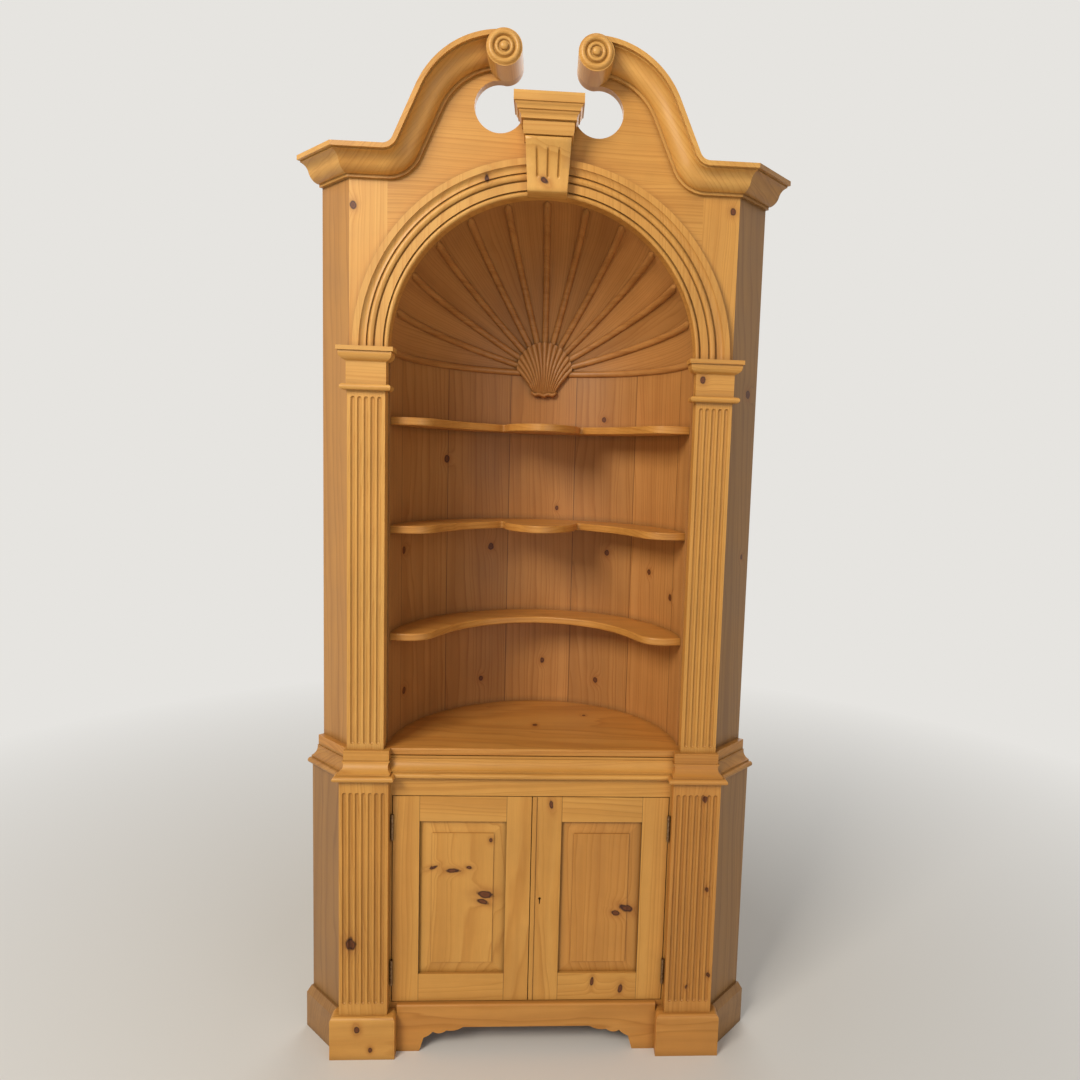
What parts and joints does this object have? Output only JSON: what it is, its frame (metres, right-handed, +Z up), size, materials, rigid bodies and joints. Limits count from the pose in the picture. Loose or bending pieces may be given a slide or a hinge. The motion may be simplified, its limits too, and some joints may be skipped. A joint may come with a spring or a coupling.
{
  "type": "corner cabinet",
  "caption": "Two-stage corner cabinet with a round-arched niche, shaped shelves, a scrolled pediment and a panelled cupboard with hinged doors below.",
  "frame": {"origin": "on the floor, at the middle of the cabinet's width and of its whole depth", "axes": "+X to the right seen from the front, +Y into the corner of the room, +Z up; the front faces -Y"},
  "size_m": [1.1156, 0.6721, 2.316],
  "materials": {
    "pine_front": "waxed honey-coloured pine",
    "pine_interior": "darker aged pine with an old wax",
    "pine_rough": "sawn unfinished pine",
    "iron": "dark wrought iron",
    "brass": "aged brass"
  },
  "bodies": {
    "case": {"archivolt_left": "pine_front", "archivolt_right": "pine_front", "back_staves": "pine_interior", "capital_left": "pine_front", "capital_right": "pine_front", "case_hinges": "iron", "counter_top": "pine_interior", "crown_left": "pine_front", "crown_return_left": "pine_front", "crown_return_right": "pine_front", "crown_right": "pine_front", "cupboard_floor": "pine_rough", "dome_gores": "pine_interior", "dome_ribs": "pine_interior", "front_apron": "pine_front", "keystone": "pine_front", "keystone_cap": "pine_front", "lower_back_left": "pine_rough", "lower_back_right": "pine_rough", "lower_bottom_rail": "pine_front", "lower_pilaster_left": "pine_front", "lower_pilaster_right": "pine_front", "lower_side_left": "pine_front", "lower_side_right": "pine_front", "lower_stile_left": "pine_front", "lower_stile_right": "pine_front", "lower_top_rail": "pine_front", "pediment_board": "pine_front", "plinth_block_left": "pine_front", "plinth_block_right": "pine_front", "shelf_bottom": "pine_interior", "shelf_middle": "pine_interior", "shelf_top": "pine_interior", "shell_carving": "pine_interior", "side_plinth_left": "pine_front", "side_plinth_right": "pine_front", "spandrel_board": "pine_front", "upper_pilaster_left": "pine_front", "upper_pilaster_right": "pine_front", "upper_side_left": "pine_front", "upper_side_right": "pine_front", "upper_stile_left": "pine_front", "upper_stile_right": "pine_front", "volute_left": "pine_front", "volute_right": "pine_front", "waist_breakout_left": "pine_front", "waist_breakout_right": "pine_front", "waist_moulding_front": "pine_front", "waist_return_left": "pine_front", "waist_return_right": "pine_front"},
    "right_door": {"door_frame_right": "pine_front", "door_panel_right": "pine_front", "door_hinges_right": "iron", "lock_case": "iron"},
    "left_door": {"door_frame_left": "pine_front", "door_panel_left": "pine_front", "door_hinges_left": "iron", "left_bolt_keep": "iron"},
    "lock_bolt_body": {"lock_bolt": "brass"},
    "left_bolt_body": {"left_bolt": "iron"}
  },
  "joints": [
    {"name": "right_door_hinge", "type": "hinge", "parent": "case", "child": "right_door", "pos_m": [0.325, -0.2973, 0.375], "axis": [0, 0, 1], "range_deg": [0, 105]},
    {"name": "left_door_hinge", "type": "hinge", "parent": "case", "child": "left_door", "pos_m": [-0.325, -0.2973, 0.375], "axis": [0, 0, -1], "range_deg": [0, 105]},
    {"name": "lock_bolt_slide", "type": "slide", "parent": "right_door", "child": "lock_bolt_body", "axis": [-1, 0, 0], "range_m": [0, 0.01]},
    {"name": "left_bolt_slide", "type": "slide", "parent": "left_door", "child": "left_bolt_body", "axis": [0, 0, 1], "range_m": [0, 0.012]}
  ]
}
